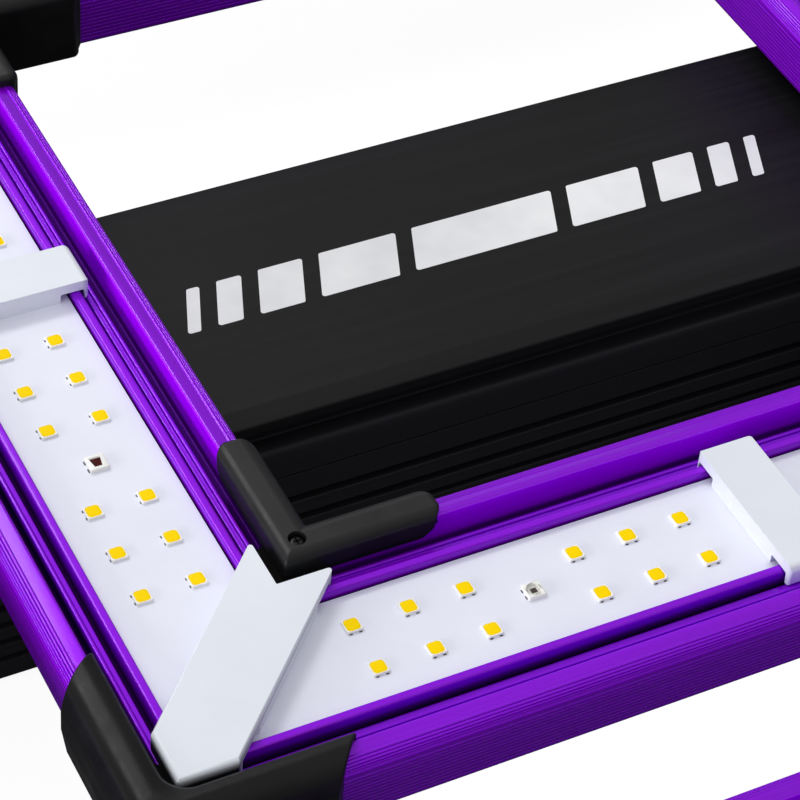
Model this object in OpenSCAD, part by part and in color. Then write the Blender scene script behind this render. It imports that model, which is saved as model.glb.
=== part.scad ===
// LED grow light: two nested square light bars carried by a slim driver box.
// It lies on the back of the driver with the lamps facing +Z. Units are millimetres.

/* [Frames] */
// centre-line side of the inner square frame
inner_side = 194; // [194:1:200]
// centre-line side of the outer square frame
outer_side = 339; // [339:1:345]
// LED pitch along a bar
led_pitch = 10; // [9.9:0.05:10]

/* [Driver] */
// length of the driver housing
housing_l = 356; // [354:1:360]
// width of the driver housing
driver_w = 62.4; // [62.4:0.1:66]
// height of the spacer pads between driver and bars
spacer_h = 4.5; // [4:0.5:6]

/* [Clips] */
// width of a mid clip along the bar
clip_w = 10; // [8:0.5:12]
// thickness of the clip plates
clip_t = 2; // [1.5:0.1:2.5]

/* [Controls] */
// radius of the dimmer knob
knob_r = 8; // [6:0.5:8]
// how far the knob stands out of the end cap
knob_h = 9.7; // [8:0.1:12]
// radius of the holes in the hanging brackets
hang_r = 4; // [3:0.5:4]

/* [Hidden] */
$fn = 48;
eps = 0.01;
ci = inner_side / 2;
co = outer_side / 2;
driver_h = 47;
base_z = driver_h + spacer_h;
// heights of the bar profile above the underside of the bar
floor_h = 9.3;
board_t = 1.6;
board_top = floor_h + board_t;
lip_h = 12.5;
shelf_h = 10.5;
ridge_h = 14.1;
board_w = 11.1;
mitre_gap = 0.05;
// lamp packages
led_w = 3;
led_t = 0.6;
glow_w = 2.43;
single_w = 3.4;
row_off = 4.72;
first_led = 23.1;
// clips and caps, distances from a bar's centre line
clip_end = 14.8;
clip_leg = 1.1;
clip_body = 9.3;
clip_under = 12.7;
cap_skirt = 17.2;
cap_lap = 18.3;
cap_wall = 23.05;
cap_out = 24.7;
cap_arm = 45.4;
cap_screw = 21;
key_in = 9.6;
key_out = 18.9;
key_mid = (key_in + key_out) / 2;
key_arm = 40;
key_far = 30;
key_near = 12;
wall_t = 1.6;
// driver box
lid_z = 44.3;
neck_z = 38.4;
neck_w = 27;
cavity_w = 22.5;
end_x = housing_l / 2;
gasket_t = 1;
cap_t = 4;
face_x = end_x + gasket_t + cap_t;
port_lo = [26, 6];
port_hi = [24.75, 41.3];
screw_y = 12;
wire_y = 4;
hang_x = 120;
hang_pitch = 8;
hinge_x = face_x + 2.2;
hinge_z = 34;
cover_y = [-1.5, -17];
knob_y = 15;
knob_z = 24;

// placing helpers: k = 0 front, 1 right, 2 back, 3 left
module on_side(c, k) {
    rotate([0, 0, 90 * k]) translate([0, -c, base_z]) children();
}
module on_corner(c, k) {
    rotate([0, 0, 90 * k]) translate([-c, -c, base_z]) children();
}
module each_corner(c) {
    for (k = [0:3]) on_corner(c, k) children();
}
module each_side(c) {
    for (k = [0:3]) on_side(c, k) children();
}
module plate(z0, z1, pts) {
    translate([0, 0, z0]) linear_extrude(z1 - z0) polygon(pts);
}
module block(x0, x1, y0, y1, z0, z1) {
    translate([x0, y0, z0]) cube([x1 - x0, y1 - y0, z1 - z0]);
}
function flip(p) = [for (i = [len(p) - 1:-1:0]) [-p[i][0], p[i][1]]];

// light bar
half_bar = [[21.5, 0], [22.9, 11], [23, 11.1], [23, 11.9], [22.5, 12.9], [20.5, 14],
    [19.4, ridge_h], [18.7, 13.8], [18.4, 13.2], [18.4, 8], [15.8, 8], [15.8, shelf_h],
    [14, shelf_h], [14, 9.8], [13.1, 9.8], [13.1, lip_h], [11.4, lip_h], [11.4, floor_h]];
module bar_profile() {
    difference() {
        polygon(concat(half_bar, flip(half_bar)));
        translate([-8, wall_t]) square([16, floor_h - 2 * wall_t]);
        for (s = [-1, 1]) translate([s * 14.25 - 4.75, wall_t]) square([9.5, 5.4]);
    }
}
module mitre(c, z0, z1, g) {
    far = 40;
    plate(z0, z1, [[0, c - g], [-(c - g + far), -far], [c - g + far, -far]]);
}
module rail(c, feeds, hangs) {
    m3 = 1.2;
    m4 = 2.15;
    difference() {
        intersection() {
            translate([-(c + 24), 0, 0]) rotate([90, 0, 90]) linear_extrude(2 * (c + 24)) bar_profile();
            mitre(c, -1, ridge_h + 1, mitre_gap);
        }
        for (s = [-1, 1], t = [-1, 1])
            translate([s * (c - t * cap_screw), t * cap_screw, 7.5]) cylinder(h = 8, r = m3);
        for (s = [-1, 1]) {
            translate([s * (c - key_far), key_mid, -1]) cylinder(h = wall_t + 2, r = 2.6);
            translate([s * (c - key_near), -key_mid, -1]) cylinder(h = wall_t + 2, r = 2.6);
        }
        if (feeds) for (s = [-1, 1]) {
            translate([s * screw_y, 0, -1]) cylinder(h = wall_t + 2, r = m4);
            translate([s * wire_y, 0, -1]) cylinder(h = floor_h + 2, r = 1.1);
        }
        if (hangs) for (s = [-1, 1], t = [-1, 1])
            translate([s * hang_x + t * hang_pitch, 0, -1]) cylinder(h = wall_t + 2, r = m4);
    }
}
module led_board(c) {
    intersection() {
        block(-c - board_w, c + board_w, -board_w, board_w, floor_h, board_top);
        mitre(c, floor_h - 1, board_top + 1, 0.3);
    }
}

// lamp positions along a bar: [group starts], lamps per group, index of the single lamp
function inner_groups() = [-ci + first_led, ci - first_led - 6 * led_pitch];
function outer_groups() = [-co + first_led, -4 * led_pitch, co - first_led - 8 * led_pitch];
module pairs(groups, n, single) {
    for (g = groups, i = [0:n - 1], s = [-1, 1])
        if (i != single) translate([g + i * led_pitch, s * row_off, board_top]) children();
}
module singles(groups, single) {
    for (g = groups) translate([g + single * led_pitch, 0, board_top]) children();
}
module white_led() {
    difference() {
        translate([-led_w / 2, -led_w / 2, 0]) cube([led_w, led_w, led_t]);
        translate([-glow_w / 2, -glow_w / 2, led_t - 0.3]) cube([glow_w, glow_w, 1]);
    }
}
module phosphor() {
    translate([-glow_w / 2, -glow_w / 2, led_t - 0.3]) cube([glow_w, glow_w, 0.34]);
}
module red_led() {
    difference() {
        translate([-single_w / 2, -single_w / 2, 0]) cube([single_w, single_w, 0.7]);
        plate(0.4, 1, [[-1.2, -1.1], [1.2, -1.1], [0.8, 1.1], [-0.8, 1.1]]);
    }
    plate(0.2, 0.6, [[-1.2, -1.1], [1.2, -1.1], [0.8, 1.1], [-0.8, 1.1]]);
}
module far_red_led() {
    difference() {
        translate([-single_w / 2, -single_w / 2, 0]) cube([single_w, single_w, 0.8]);
        translate([0, 0, 0.3]) cylinder(h = 1, r1 = 1, r2 = 1.6);
    }
    translate([-0.5, -0.5, 0.2]) cube([1, 1, 0.3]);
}

// white clips
module mid_clip() {
    rail_leg = clip_end - clip_leg;
    x = clip_w / 2;
    block(-x, x, -clip_end, clip_end, clip_under, clip_under + clip_t);
    block(-x, x, -clip_body, clip_body, board_top, clip_under);
    for (s = [0, 1]) mirror([0, s, 0]) block(-x, x, rail_leg, clip_end, shelf_h + 0.05, clip_under);
}
function band(w, h) = [[-w, -w], [h - w, -w], [w + h, w], [w, w], [w, w + h], [-w, h - w]];
module corner_clip() {
    h = 10;
    leg = clip_end - clip_leg;
    plate(clip_under, clip_under + clip_t, band(clip_end, h));
    plate(board_top, clip_under, band(clip_body, h));
    translate([0, 0, shelf_h + 0.05]) linear_extrude(clip_under - shelf_h - 0.05) difference() {
        polygon(band(clip_end, h));
        polygon([[-leg, -leg], [30, -leg], [30, leg], [leg, leg], [leg, 30], [-leg, 30]]);
    }
}

// black corner caps
function ell(a, b, e) = [[a, a], [e, a], [e, b], [b, b], [b, e], [a, e]];
function turned(p) = [for (q = p) -q];
module cap_hole(p) {
    translate([p, p, 12]) cylinder(h = 5, r = 1.3);
    translate([p, p, 14.7]) cylinder(h = 5, r = 1.7);
}
module in_cap() {
    difference() {
        union() {
            plate(ridge_h + 0.05, 15.9, ell(cap_skirt, cap_out, cap_arm));
            plate(11, ridge_h + 0.05, ell(cap_skirt, cap_lap, cap_arm - 2.4));
            plate(-0.6, ridge_h + 0.05, ell(cap_wall, cap_out, cap_arm - 1.2));
            plate(-0.6, -0.05, ell(20.5, cap_wall, cap_arm - 1.2));
        }
        cap_hole(cap_screw);
    }
}
module out_cap() {
    far = 12.8;
    near = 6.8;
    difference() {
        union() {
            plate(ridge_h + 0.05, 15.9, [[-cap_out, -cap_out], [near, -cap_out],
                [far, -cap_skirt], [-cap_skirt, -cap_skirt], [-cap_skirt, far], [-cap_out, near]]);
            plate(11, ridge_h + 0.05, turned(ell(cap_skirt, cap_lap, -far)));
            plate(-0.6, ridge_h + 0.05, turned(ell(cap_wall, cap_out, -near)));
            plate(-0.6, -0.05, turned(ell(20.5, cap_wall, -near)));
        }
        cap_hole(-cap_screw);
    }
}
module cap_screw_solid() {
    translate([0, 0, 14.72]) cylinder(h = 1, r = 1.6);
    translate([0, 0, 8]) cylinder(h = 7, r = 1.15);
}

// corner keys inside the bars
module key_pair() {
    z0 = wall_t + 0.1;
    z1 = 6.9;
    difference() {
        plate(z0, z1, ell(key_in, key_out, key_arm));
        for (p = [[key_far, key_mid], [key_mid, key_far]])
            translate([p[0], p[1], 0]) cylinder(h = 8, r = 2.53);
    }
    difference() {
        plate(z0, z1, turned(ell(key_in, key_out, -25)));
        for (p = [[key_near, -key_mid], [-key_mid, key_near]])
            translate([p[0], p[1], 0]) cylinder(h = 8, r = 2.53);
    }
}
module grub(x, y) {
    translate([x, y, 0.3]) difference() {
        cylinder(h = 6.4, r = 2.5);
        translate([0, 0, -1]) cylinder(h = 3.5, r = 1.4, $fn = 6);
    }
}

// joints between driver and bars
module at_crossings() {
    for (c = [ci, co], s = [-1, 1]) translate([s * c, 0, 0]) children();
}
module m4_screw(z0, z1) {
    head_h = 2.6;
    difference() {
        union() {
            translate([0, 0, z0 - head_h]) cylinder(h = head_h, r = 3.5);
            translate([0, 0, z0]) cylinder(h = z1 - z0, r = 2);
        }
        translate([0, 0, z0 - head_h - 1]) cylinder(h = 2.6, r = 1.6, $fn = 6);
    }
}
module m4_nut() {
    translate([0, 0, base_z + wall_t]) difference() {
        cylinder(h = 3.2, r = 4.04, $fn = 6);
        translate([0, 0, -1]) cylinder(h = 6, r = 2.04);
    }
}
module at_hangers() {
    for (k = [0, 180], s = [-1, 1]) rotate([0, 0, k]) translate([s * hang_x, -co, 0]) children();
}
module hanger() {
    tab_h = 20;
    difference() {
        union() {
            block(-15, 15, -10, 10, base_z - 2, base_z);
            block(-11, 11, -10, -8, base_z - tab_h, base_z - 2);
        }
        for (t = [-1, 1]) translate([t * hang_pitch, 0, base_z - 3]) cylinder(h = 4, r = 2.15);
        translate([0, -11, base_z - 12]) rotate([-90, 0, 0]) cylinder(h = 4, r = hang_r);
    }
}

// driver box
module along_x(l) {
    translate([-l / 2, 0, 0]) rotate([90, 0, 90]) linear_extrude(l) children();
}
module housing_profile() {
    hw = driver_w / 2;
    groove_t = 2;
    difference() {
        union() {
            translate([-hw, 0]) square([driver_w, neck_z]);
            translate([-neck_w, neck_z - 1]) square([2 * neck_w, lid_z - neck_z + 1]);
        }
        translate([-cavity_w, 3]) square([2 * cavity_w, lid_z]);
        translate([-cavity_w - 1.5, 8]) square([2 * cavity_w + 3, 1.7]);
        for (s = [-1, 1]) {
            for (z = [5.4, 9.8, 14.2]) translate([s * (hw - 0.5) - 1.5, z]) square([3, 1.4]);
            for (z = [18.5, 23.7]) translate([s * hw - groove_t, z]) square([2 * groove_t, 1.8]);
            translate([s * hw - 0.5, 31.1]) square([1, 0.4]);
            translate([s * port_lo[0], port_lo[1]]) circle(r = 1.25);
            translate([s * port_hi[0], port_hi[1]]) circle(r = 1.25);
        }
    }
}
module housing() {
    along_x(housing_l) housing_profile();
}
module lid() {
    hw = driver_w / 2;
    difference() {
        union() {
            along_x(housing_l) polygon([[-hw, lid_z], [hw, lid_z], [hw, 46.4], [hw - 4.3, driver_h],
                [-hw + 4.3, driver_h], [-hw, 46.4]]);
            for (s = [-1, 1]) along_x(housing_l) translate([s * 21.9 - 0.5, lid_z - 1.8]) square([1, 1.8]);
        }
        at_crossings() for (s = [-1, 1]) {
            translate([0, s * screw_y, lid_z - 1]) cylinder(h = 5, r = 2.1);
            translate([0, s * wire_y, lid_z - 1]) cylinder(h = 5, r = 1.1);
        }
    }
}
module spacer() {
    difference() {
        block(-15, 15, -18, 18, driver_h, base_z);
        for (s = [-1, 1]) {
            translate([0, s * screw_y, driver_h - 1]) cylinder(h = spacer_h + 2, r = 2.2);
            translate([0, s * wire_y, driver_h - 1]) cylinder(h = spacer_h + 2, r = 1.2);
        }
    }
}
module at_ports() {
    for (s = [-1, 1], p = [port_lo, port_hi]) translate([0, s * p[0], p[1]]) children();
}
module end_outline() {
    hw = driver_w / 2;
    b = 2.5;
    polygon([[-hw + b, 0], [hw - b, 0], [hw, b], [hw, driver_h - b], [hw - b, driver_h],
        [-hw + b, driver_h], [-hw, driver_h - b], [-hw, b]]);
}
module end_plate() {
    difference() {
        translate([end_x + gasket_t, 0, 0]) rotate([90, 0, 90]) linear_extrude(cap_t) end_outline();
        at_ports() translate([end_x, 0, 0]) rotate([0, 90, 0]) {
            cylinder(h = 8, r = 1.6);
            translate([0, 0, gasket_t + cap_t - 2]) cylinder(h = 5, r = 2.9);
        }
    }
}
module gasket() {
    difference() {
        translate([end_x, 0, 0]) rotate([90, 0, 90]) linear_extrude(gasket_t) end_outline();
        block(end_x - 1, end_x + 2, -cavity_w, cavity_w, 3, lid_z - 1.9);
        at_ports() translate([end_x - 1, 0, 0]) rotate([0, 90, 0]) cylinder(h = 3, r = 1.6);
    }
}
module end_screw() {
    difference() {
        union() {
            translate([end_x - 8, 0, 0]) rotate([0, 90, 0]) cylinder(h = 13, r = 1.2);
            translate([face_x - 2, 0, 0]) rotate([0, 90, 0]) cylinder(h = 1.8, r = 2.7);
        }
        for (a = [0, 90]) rotate([a, 0, 0]) block(face_x - 1.2, face_x + 1, -1.6, 1.6, -0.35, 0.35);
    }
}
module inlet_cap() {
    mirror([1, 0, 0]) difference() {
        end_plate();
        block(end_x, face_x + 1, -13.5, 13.5, 14, 34);
    }
}
module inlet() {
    mirror([1, 0, 0]) difference() {
        union() {
            block(face_x, face_x + 2, -15.5, 15.5, 12, 36);
            block(end_x - 18, face_x, -13.4, 13.4, 14.1, 33.9);
        }
        plate_pts = [[-12, 16], [12, 16], [12, 29], [8.5, 32.2], [-8.5, 32.2], [-12, 29]];
        translate([end_x - 12, 0, 0]) rotate([90, 0, 90]) linear_extrude(30) polygon(plate_pts);
        for (p = [[-7, 22], [0, 26], [7, 22]])
            block(end_x - 19, end_x, p[0] - 1.05, p[0] + 1.05, p[1] - 2.05, p[1] + 2.05);
    }
}
module pins() {
    mirror([1, 0, 0]) for (p = [[-7, 22], [0, 26], [7, 22]])
        block(end_x - 22, face_x - 1, p[0] - 1, p[0] + 1, p[1] - 2, p[1] + 2);
}
port_z = 15;
port_s = 11.4;
module control_cap() {
    ear_t = 1.5;
    difference() {
        union() {
            end_plate();
            for (y = cover_y, s = [-1, 1]) translate([0, y + s * 6.85, 0])
                block(face_x, hinge_x + 2, -ear_t / 2, ear_t / 2, hinge_z - 2, hinge_z + 2);
        }
        for (y = cover_y) {
            half_port = 5.3;
            block(end_x, face_x + 1, y - half_port, y + half_port, port_z, port_z + port_s);
            translate([hinge_x, y - 8, hinge_z]) rotate([-90, 0, 0]) cylinder(h = 16, r = 1.05);
        }
        translate([end_x, knob_y, knob_z]) rotate([0, 90, 0]) cylinder(h = 8, r = 3.08);
    }
}
module ports() {
    for (y = cover_y) difference() {
        block(end_x - 10, face_x + 0.6, y - 5.2, y + 5.2, port_z + 0.1, port_z + port_s - 0.1);
        block(end_x - 8, face_x + 1, y - 4, y + 4, port_z + 2, port_z + 9);
        block(end_x - 8, face_x + 1, y - 1.5, y + 1.5, port_z + 8, port_z + 10.2);
    }
}
module cover(y) {
    w = 5.95;
    translate([0, y, 0]) {
        block(hinge_x - 1, hinge_x + 1, -w, w, port_z - 1.5, hinge_z);
        translate([hinge_x, -w, hinge_z]) rotate([-90, 0, 0]) cylinder(h = 2 * w, r = 1.9);
        translate([hinge_x, -7.5, hinge_z]) rotate([-90, 0, 0]) cylinder(h = 15, r = 1);
        block(hinge_x + 0.5, hinge_x + 2.2, -3, 3, port_z - 1.5, port_z);
    }
}
module at_knob() {
    translate([0, knob_y, knob_z]) rotate([0, 90, 0]) children();
}
module pot() {
    at_knob() difference() {
        translate([0, 0, end_x - 9]) cylinder(h = 9.9, r = 6.5);
        translate([0, 0, end_x - 6]) cylinder(h = 10, r = 3.05);
    }
}
module shaft() {
    at_knob() translate([0, 0, end_x - 5.9]) cylinder(h = 17, r = 3);
}
module knob() {
    groove_r = 0.7;
    at_knob() difference() {
        union() {
            translate([0, 0, face_x + 0.3]) cylinder(h = 2, r = knob_r);
            translate([0, 0, face_x + 2.3]) cylinder(h = knob_h - 2, r = knob_r - 0.8);
        }
        translate([0, 0, face_x - 1]) cylinder(h = end_x + 12.1 - face_x, r = 3.02);
        translate([-knob_r, -0.5, face_x + knob_h - 0.2]) cube([knob_r - 3, 1, 2]);
        for (a = [0:30:359]) rotate([0, 0, a + 15])
            translate([knob_r - 0.5, 0, face_x + 2.8]) cylinder(h = 12, r = groove_r);
    }
}
module board() {
    block(-172, 172, -23.9, 23.9, 8.05, 9.65);
}
module transformer_solid() {
    core_x = 20;
    block(core_x - 17, core_x + 17, -15, 15, 12, 32);
    block(core_x - 12, core_x + 12, -18, 18, 9.65, 34);
}
module caps_group() {
    for (x = [-60, -40, -20]) translate([x, 0, 9.65]) cylinder(h = 26, r = 8);
}
module wires() {
    wire_r = 1;
    sleeve_r = 1.2;
    run_z = 39;
    run_in = 20;
    top_z = base_z + floor_h;
    for (side = [-1, 1], s = [-1, 1]) {
        translate([side * ci, s * wire_y, 9.65]) cylinder(h = top_z - 9.65, r = wire_r);
        translate([side * co, s * wire_y, run_z]) cylinder(h = top_z - run_z, r = wire_r);
        translate([side * (co - run_in), s * wire_y, 9.65]) cylinder(h = run_z - 9.65, r = wire_r);
        translate([side * (co - run_in / 2), s * wire_y, run_z]) rotate([0, 90, 0])
            cylinder(h = run_in + 3, r = sleeve_r, center = true);
    }
}

module inner_rail(k) { color("purple") on_side(ci, k) rail(ci, k == 1 || k == 3, false); }
module outer_rail(k) { color("purple") on_side(co, k) rail(co, k == 1 || k == 3, k == 0 || k == 2); }
module inner_board(k) { color("white") on_side(ci, k) led_board(ci); }
module outer_board(k) { color("white") on_side(co, k) led_board(co); }
module inner_white_leds() { color("ivory") each_side(ci) pairs(inner_groups(), 7, 3) white_led(); }
module outer_white_leds() { color("ivory") each_side(co) pairs(outer_groups(), 9, 4) white_led(); }
module inner_phosphors() { color("gold") each_side(ci) pairs(inner_groups(), 7, 3) phosphor(); }
module outer_phosphors() { color("gold") each_side(co) pairs(outer_groups(), 9, 4) phosphor(); }
module inner_red_leds() { color("darkred") for (k = [1, 3]) on_side(ci, k) singles(inner_groups(), 3) red_led(); }
module outer_red_leds() { color("darkred") for (k = [1, 3]) on_side(co, k) singles(outer_groups(), 4) red_led(); }
module inner_far_red_leds() { color("silver") for (k = [0, 2]) on_side(ci, k) singles(inner_groups(), 3) far_red_led(); }
module outer_far_red_leds() { color("silver") for (k = [0, 2]) on_side(co, k) singles(outer_groups(), 4) far_red_led(); }
module inner_mid_clips() { color("whitesmoke") each_side(ci) mid_clip(); }
module outer_mid_clips() {
    gap_x = (co - first_led - 8 * led_pitch + 4 * led_pitch) / 2;
    color("whitesmoke") each_side(co) for (s = [-1, 1]) translate([s * gap_x, 0, 0]) mid_clip();
}
module inner_corner_clips() { color("whitesmoke") each_corner(ci) corner_clip(); }
module outer_corner_clips() { color("whitesmoke") each_corner(co) corner_clip(); }
module inner_frame_in_caps() { color("dimgray") each_corner(ci) in_cap(); }
module inner_frame_out_caps() { color("dimgray") each_corner(ci) out_cap(); }
module outer_frame_in_caps() { color("dimgray") each_corner(co) in_cap(); }
module outer_frame_out_caps() { color("dimgray") each_corner(co) out_cap(); }
module cap_screws() {
    color("black") for (c = [ci, co], p = [-cap_screw, cap_screw])
        each_corner(c) translate([p, p, 0]) cap_screw_solid();
}
module corner_keys() { color("gray") for (c = [ci, co]) each_corner(c) key_pair(); }
module key_screws() {
    color("black") for (c = [ci, co]) each_corner(c) {
        grub(key_far, key_mid);
        grub(key_mid, key_far);
        grub(key_near, -key_mid);
        grub(-key_mid, key_near);
    }
}
module rail_spacers() { color("dimgray") at_crossings() spacer(); }
module spacer_screws() {
    color("silver") at_crossings() for (s = [-1, 1])
        translate([0, s * screw_y, 0]) m4_screw(lid_z, base_z + 5);
}
module frame_nuts() {
    color("silver") {
        at_crossings() for (s = [-1, 1]) translate([0, s * screw_y, 0]) m4_nut();
        at_hangers() for (t = [-1, 1]) translate([t * hang_pitch, 0, 0]) m4_nut();
    }
}
module hanger_brackets() { color("silver") at_hangers() hanger(); }
module hanger_screws() {
    color("silver") at_hangers() for (t = [-1, 1])
        translate([t * hang_pitch, 0, 0]) m4_screw(base_z - 2, base_z + 5);
}
module driver_housing() { color("black") housing(); }
module driver_lid() { color("black") lid(); }
module inlet_end_cap() { color("dimgray") inlet_cap(); }
module control_end_cap() { color("dimgray") control_cap(); }
module end_gaskets() { color("darkslategray") for (s = [0, 1]) mirror([s, 0, 0]) gasket(); }
module end_cap_screws() { color("silver") for (s = [0, 1]) mirror([s, 0, 0]) at_ports() end_screw(); }
module driver_board() { color("green") board(); }
module transformer() { color("orange") transformer_solid(); }
module capacitors() { color("navy") caps_group(); }
module supply_wires() { color("red") wires(); }
module mains_inlet() { color("black") inlet(); }
module inlet_pins() { color("gold") pins(); }
module control_ports() { color("black") ports(); }
module port_cover_a() { color("gray") cover(cover_y[0]); }
module port_cover_b() { color("gray") cover(cover_y[1]); }
module dimmer_pot() { color("gray") pot(); }
module dimmer_shaft() { color("silver") shaft(); }
module dimmer_knob() { color("black") knob(); }

inner_rail(0);  // inner_rail_front
inner_rail(1);  // inner_rail_right
inner_rail(2);  // inner_rail_back
inner_rail(3);  // inner_rail_left
outer_rail(0);  // outer_rail_front
outer_rail(1);  // outer_rail_right
outer_rail(2);  // outer_rail_back
outer_rail(3);  // outer_rail_left
inner_board(0);  // inner_board_front
inner_board(1);  // inner_board_right
inner_board(2);  // inner_board_back
inner_board(3);  // inner_board_left
outer_board(0);  // outer_board_front
outer_board(1);  // outer_board_right
outer_board(2);  // outer_board_back
outer_board(3);  // outer_board_left
inner_white_leds();
outer_white_leds();
inner_phosphors();
outer_phosphors();
inner_red_leds();
outer_red_leds();
inner_far_red_leds();
outer_far_red_leds();
inner_mid_clips();
outer_mid_clips();
inner_corner_clips();
outer_corner_clips();
inner_frame_in_caps();
inner_frame_out_caps();
outer_frame_in_caps();
outer_frame_out_caps();
cap_screws();
corner_keys();
key_screws();
rail_spacers();
spacer_screws();
frame_nuts();
hanger_brackets();
hanger_screws();
driver_housing();
driver_lid();
inlet_end_cap();
control_end_cap();
end_gaskets();
end_cap_screws();
driver_board();
transformer();
capacitors();
supply_wires();
mains_inlet();
inlet_pins();
control_ports();
port_cover_a();
port_cover_b();
dimmer_pot();
dimmer_shaft();
dimmer_knob();
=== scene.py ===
import math

import bmesh
import bpy
from mathutils import Matrix, Vector


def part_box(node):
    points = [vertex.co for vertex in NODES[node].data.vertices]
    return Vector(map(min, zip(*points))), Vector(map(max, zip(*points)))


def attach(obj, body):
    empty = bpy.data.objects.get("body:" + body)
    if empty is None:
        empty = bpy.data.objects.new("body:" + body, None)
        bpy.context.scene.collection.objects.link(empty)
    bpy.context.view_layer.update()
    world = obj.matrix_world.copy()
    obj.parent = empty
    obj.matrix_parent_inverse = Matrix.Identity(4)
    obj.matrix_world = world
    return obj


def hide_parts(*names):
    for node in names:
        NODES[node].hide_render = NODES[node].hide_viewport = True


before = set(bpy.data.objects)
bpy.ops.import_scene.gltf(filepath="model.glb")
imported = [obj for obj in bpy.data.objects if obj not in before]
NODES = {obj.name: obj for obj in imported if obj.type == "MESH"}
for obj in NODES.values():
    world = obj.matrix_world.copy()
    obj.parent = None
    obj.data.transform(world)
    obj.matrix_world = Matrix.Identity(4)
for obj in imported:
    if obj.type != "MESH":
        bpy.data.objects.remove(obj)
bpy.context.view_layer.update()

BASE = "fixture"
MM = 0.001

# ---- layout, in mm, taken from the CAD nodes


def box_mm(node):
    """A CAD node's lowest and highest corner, in mm."""
    lo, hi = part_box(node)
    return [v / MM for v in lo], [v / MM for v in hi]


BAR_W = 23.0  # half width of a light bar
CI = box_mm("inner_rail_front")[1][0] - BAR_W
CO = box_mm("outer_rail_front")[1][0] - BAR_W
BASE_Z = box_mm("inner_rail_front")[0][2]
BOARD_TOP = box_mm("inner_board_front")[1][2] - BASE_Z
DRIVER_HI = box_mm("driver_housing")[1]
LID_LO, LID_HI = box_mm("driver_lid")
FIRST = 23.1  # from a ring's corner to its first lamp
PITCH = 10.0  # from lamp to lamp
ROW = 4.72  # from a bar's centre line to either row of lamps

# ---- mesh helpers


def add_object(name, me, mats, nodes=(), body=BASE, weighted=True):
    """Makes a visible piece that rides on a body and stands in for the CAD nodes."""
    for m in mats:
        me.materials.append(m)
    o = bpy.data.objects.new(name, me)
    bpy.context.scene.collection.objects.link(o)
    if weighted:
        w = o.modifiers.new("normals", "WEIGHTED_NORMAL")
        w.keep_sharp = True
        w.weight = 60
    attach(o, body)
    if nodes:
        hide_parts(*nodes)


def bm_mesh(bm, name, angle):
    """bm, in mm, becomes a mesh in metres; edges sharper than the angle stay crisp."""
    bmesh.ops.recalc_face_normals(bm, faces=bm.faces)
    bmesh.ops.scale(bm, vec=(MM, MM, MM), verts=bm.verts)
    limit = math.radians(angle)
    for f in bm.faces:
        f.smooth = True
    for e in bm.edges:
        e.smooth = len(e.link_faces) == 2 and e.calc_face_angle(0.0) < limit
    me = bpy.data.meshes.new(name)
    bm.to_mesh(me)
    bm.free()
    return me


def rounded(points, steps=6):
    """A closed outline from corners (x, y, radius), each corner turned into an arc."""
    out = []
    n = len(points)
    for i, p in enumerate(points):
        r = p[2] if len(p) > 2 else 0
        a, b, c = Vector(points[i - 1][:2]), Vector(p[:2]), Vector(points[(i + 1) % n][:2])
        u, v = (a - b), (c - b)
        if r <= 0 or u.length < 1e-6 or v.length < 1e-6:
            out.append((b.x, b.y))
            continue
        lu, lv = u.length, v.length
        u.normalize()
        v.normalize()
        half = math.acos(max(-1, min(1, u.dot(v)))) / 2
        if half > math.pi / 2 - 0.02:
            out.append((b.x, b.y))
            continue
        t = min(r / math.tan(half), lu * 0.49, lv * 0.49)
        r = t * math.tan(half)
        centre = b + (u + v).normalized() * (r / math.sin(half))
        s, e = b + u * t - centre, b + v * t - centre
        turn = math.atan2(s.x * e.y - s.y * e.x, s.dot(e))
        k = max(2, int(round(steps * abs(turn) / (math.pi / 2))))
        for j in range(k + 1):
            w = turn * j / k
            out.append((centre.x + s.x * math.cos(w) - s.y * math.sin(w),
                        centre.y + s.x * math.sin(w) + s.y * math.cos(w)))
    return out


def ring_faces(bm, a, b):
    """Four-sided faces between two rings of points."""
    n = len(a)
    return [bm.faces.new((a[i], a[(i + 1) % n], b[(i + 1) % n], b[i])) for i in range(n)]


def loft(bm, rings, close_start=True, close_end=True, mat=0):
    """Joins rings of the same count of points; each ring is a list of (x, y, z)."""
    vs = [[bm.verts.new(p) for p in r] for r in rings]
    faces = []
    for a, b in zip(vs, vs[1:]):
        faces += ring_faces(bm, a, b)
    if close_start:
        faces.append(bm.faces.new(list(reversed(vs[0]))))
    if close_end:
        faces.append(bm.faces.new(vs[-1]))
    for f in faces:
        f.material_index = mat


def flat(outline, z):
    """An outline of (x, y) laid at the height z."""
    return [(x, y, z) for x, y in outline]


def prism(bm, outline, z0, z1):
    loft(bm, [flat(outline, z0), flat(outline, z1)])


def boolean(bm_a, bm_b, op):
    """bm_a op bm_b as a new bmesh; both are freed."""
    objs = []
    for bm in (bm_a, bm_b):
        bmesh.ops.recalc_face_normals(bm, faces=bm.faces)
        me = bpy.data.meshes.new("tmp")
        bm.to_mesh(me)
        bm.free()
        o = bpy.data.objects.new("tmp", me)
        bpy.context.scene.collection.objects.link(o)
        objs.append(o)
    m = objs[0].modifiers.new("b", "BOOLEAN")
    m.operation = op
    m.solver = "EXACT"
    m.object = objs[1]
    bpy.context.view_layer.update()
    dg = bpy.context.evaluated_depsgraph_get()
    me = bpy.data.meshes.new_from_object(objs[0].evaluated_get(dg))
    out = bmesh.new()
    out.from_mesh(me)
    for o in objs:
        bpy.data.objects.remove(o, do_unlink=True)
    bmesh.ops.remove_doubles(out, verts=out.verts, dist=1e-4)
    return out


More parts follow.
